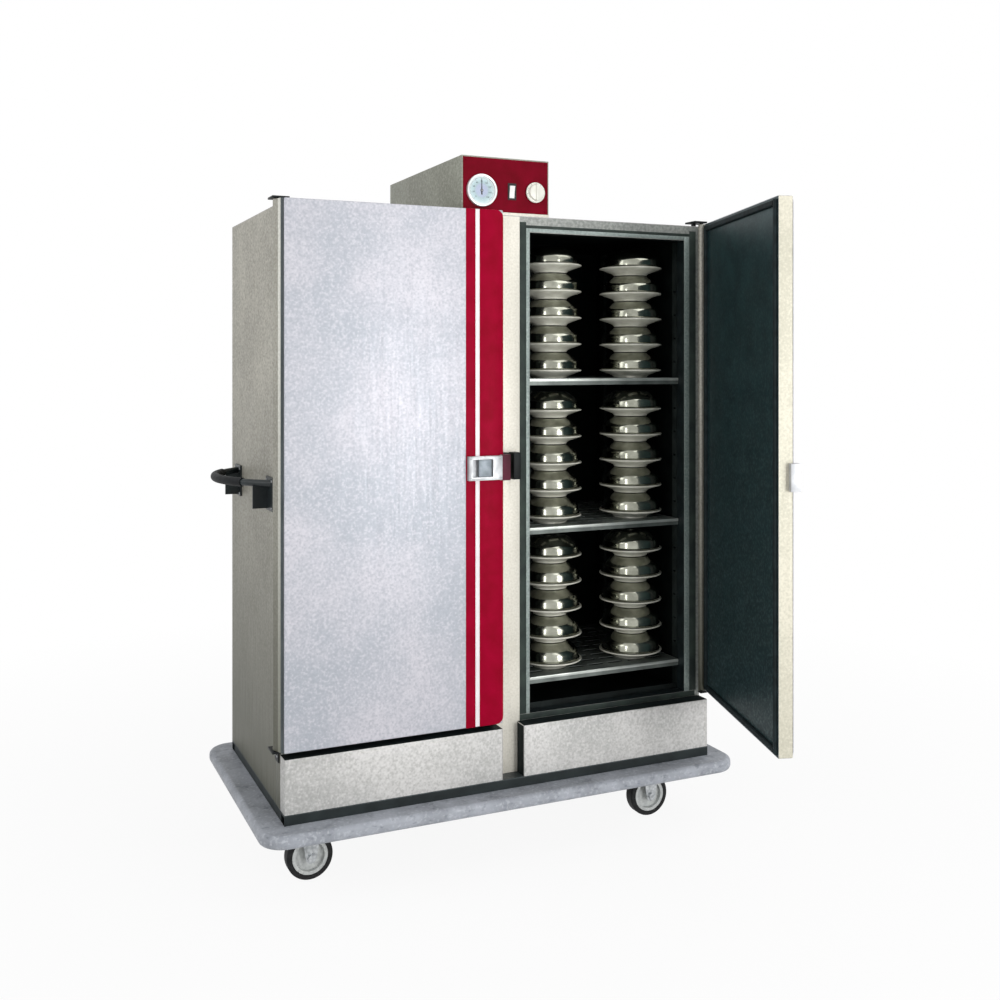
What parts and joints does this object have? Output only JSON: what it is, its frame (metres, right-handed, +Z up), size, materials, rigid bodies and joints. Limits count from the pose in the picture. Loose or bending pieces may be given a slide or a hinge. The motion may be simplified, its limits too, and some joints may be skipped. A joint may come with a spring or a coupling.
{
  "type": "plate warmer cabinet",
  "caption": "Tall heated plate cabinet on casters with two insulated doors, shelves of covered plates, a roof control box, a bumper and a push handle.",
  "frame": {"origin": "on the floor below the middle of the body", "axes": "+X to the right, +Y to the back, +Z up"},
  "size_m": [1.475, 1.3052, 1.964],
  "materials": {
    "frame_steel": "satin",
    "deck_sheet": "satin",
    "bumper_vinyl": "satin",
    "caster_zinc": "zinc plated",
    "bolt_zinc": "zinc plated",
    "side_sheet": "satin",
    "roof_sheet": "satin",
    "frame_sheet": "satin",
    "plinth_sheet": "satin",
    "insulation": "mineral wool",
    "liner_sheet": "mill",
    "rack_steel": "satin",
    "shelf_sheet": "satin",
    "heater_sheath": "oxidised",
    "motor_paint": "satin",
    "blower_aluminium": "mill",
    "box_sheet": "satin",
    "panel_red": "satin",
    "black_plastic": "satin",
    "dial_white": "satin",
    "lens_glass": "clear",
    "white_plastic": "gloss",
    "knob_plastic": "gloss",
    "handle_steel": "satin",
    "grip_rubber": "matt",
    "strike_black": "satin",
    "hinge_black": "satin",
    "plate_cover": "glazed",
    "door_sheet": "satin",
    "door_liner_sheet": "mill",
    "gasket_rubber": "matt",
    "trim_red": "gloss",
    "latch_cast": "satin chrome",
    "paddle_cast": "satin chrome",
    "tyre_rubber": "matt",
    "hub_plastic": "satin"
  },
  "bodies": {
    "cabinet": {"base_frame": "frame_steel", "base_deck": "deck_sheet", "bumper": "bumper_vinyl", "caster_plates": "caster_zinc", "rigid_forks": "caster_zinc", "frame_bolts": "bolt_zinc", "side_panels": "side_sheet", "back_panel": "side_sheet", "top_panel": "roof_sheet", "frame_rails": "frame_sheet", "plinth_panels": "plinth_sheet", "wall_insulation": "insulation", "bay_liners": "liner_sheet", "air_duct": "liner_sheet", "shelf_uprights": "rack_steel", "shelf_clips": "rack_steel", "shelves": "shelf_sheet", "heater_element": "heater_sheath", "blower_motor": "motor_paint", "control_housing": "box_sheet", "control_panel": "panel_red", "panel_fittings": "black_plastic", "thermometer_case": "dial_white", "thermometer_lens": "lens_glass", "cord_gland": "black_plastic", "push_handle": "handle_steel", "handle_grip": "grip_rubber", "door_strikes": "strike_black", "hinge_brackets": "hinge_black", "plate_stacks": "plate_cover"},
    "left_door": {"left_door_pan": "door_sheet", "left_door_insulation": "insulation", "left_door_liner": "door_liner_sheet", "left_door_gasket": "gasket_rubber", "left_door_trim": "trim_red", "left_hinge_leaves": "hinge_black", "left_latch_housing": "latch_cast"},
    "left_paddle": {"left_latch_paddle": "paddle_cast"},
    "right_door": {"right_door_pan": "door_sheet", "right_door_insulation": "insulation", "right_door_liner": "door_liner_sheet", "right_door_gasket": "gasket_rubber", "right_door_trim": "trim_red", "right_hinge_leaves": "hinge_black", "right_latch_housing": "latch_cast"},
    "right_paddle": {"right_latch_paddle": "paddle_cast"},
    "needle": {"thermometer_needle": "black_plastic"},
    "rocker": {"rocker_switch": "white_plastic"},
    "knob": {"thermostat_knob": "knob_plastic"},
    "blower": {"blower_wheel": "blower_aluminium"},
    "front_swivel": {"front_swivel_fork": "caster_zinc"},
    "rear_swivel": {"rear_swivel_fork": "caster_zinc"},
    "front_left_wheel": {"front_left_tyre": "tyre_rubber", "front_left_hub": "hub_plastic"},
    "rear_left_wheel": {"rear_left_tyre": "tyre_rubber", "rear_left_hub": "hub_plastic"},
    "front_right_wheel": {"front_right_tyre": "tyre_rubber", "front_right_hub": "hub_plastic"},
    "rear_right_wheel": {"rear_right_tyre": "tyre_rubber", "rear_right_hub": "hub_plastic"}
  },
  "joints": [
    {"name": "left_door_hinge", "type": "hinge", "parent": "cabinet", "child": "left_door", "pos_m": [-0.655, -0.304, 1.099], "axis": [0, 0, 1], "range_deg": [-180, 0]},
    {"name": "right_door_hinge", "type": "hinge", "parent": "cabinet", "child": "right_door", "pos_m": [0.655, -0.304, 1.099], "axis": [0, 0, 1], "range_deg": [-72.7, 107.3]},
    {"name": "left_paddle_pull", "type": "hinge", "parent": "left_door", "child": "left_paddle", "pos_m": [-0.0754, -0.361, 1.098], "axis": [0, 0, 1], "range_deg": [0, 35], "stiffness_Nm_per_rad": 0.2, "springref_deg": -11.46},
    {"name": "right_paddle_pull", "type": "hinge", "parent": "right_door", "child": "right_paddle", "pos_m": [0.53706, -0.87433, 1.098], "axis": [0, 0, -1], "range_deg": [0, 35], "stiffness_Nm_per_rad": 0.2, "springref_deg": -11.46},
    {"name": "thermometer_pointer", "type": "hinge", "parent": "cabinet", "child": "needle", "pos_m": [-0.076, -0.301, 1.868], "axis": [0, -1, 0], "range_deg": [-135, 135], "stiffness_Nm_per_rad": 0.002},
    {"name": "rocker_toggle", "type": "hinge", "parent": "cabinet", "child": "rocker", "pos_m": [0.018, -0.298, 1.87], "axis": [1, 0, 0], "range_deg": [-20, 0]},
    {"name": "thermostat_turn", "type": "hinge", "parent": "cabinet", "child": "knob", "pos_m": [0.09, -0.301, 1.871], "axis": [0, 1, 0], "range_deg": [0, 300]},
    {"name": "blower_spin", "type": "hinge", "parent": "cabinet", "child": "blower", "pos_m": [0, -0.15, 1.882], "axis": [0, 1, 0], "continuous": true},
    {"name": "front_swivel_turn", "type": "hinge", "parent": "cabinet", "child": "front_swivel", "pos_m": [-0.517, -0.211, 0.14], "axis": [0, 0, 1], "continuous": true},
    {"name": "rear_swivel_turn", "type": "hinge", "parent": "cabinet", "child": "rear_swivel", "pos_m": [-0.517, 0.165, 0.14], "axis": [0, 0, 1], "continuous": true},
    {"name": "front_left_roll", "type": "hinge", "parent": "front_swivel", "child": "front_left_wheel", "pos_m": [-0.545, -0.211, 0.0635], "axis": [0, 1, 0], "continuous": true},
    {"name": "rear_left_roll", "type": "hinge", "parent": "rear_swivel", "child": "rear_left_wheel", "pos_m": [-0.545, 0.165, 0.0635], "axis": [0, 1, 0], "continuous": true},
    {"name": "front_right_roll", "type": "hinge", "parent": "cabinet", "child": "front_right_wheel", "pos_m": [0.517, -0.211, 0.0635], "axis": [0, 1, 0], "continuous": true},
    {"name": "rear_right_roll", "type": "hinge", "parent": "cabinet", "child": "rear_right_wheel", "pos_m": [0.517, 0.165, 0.0635], "axis": [0, 1, 0], "continuous": true}
  ]
}
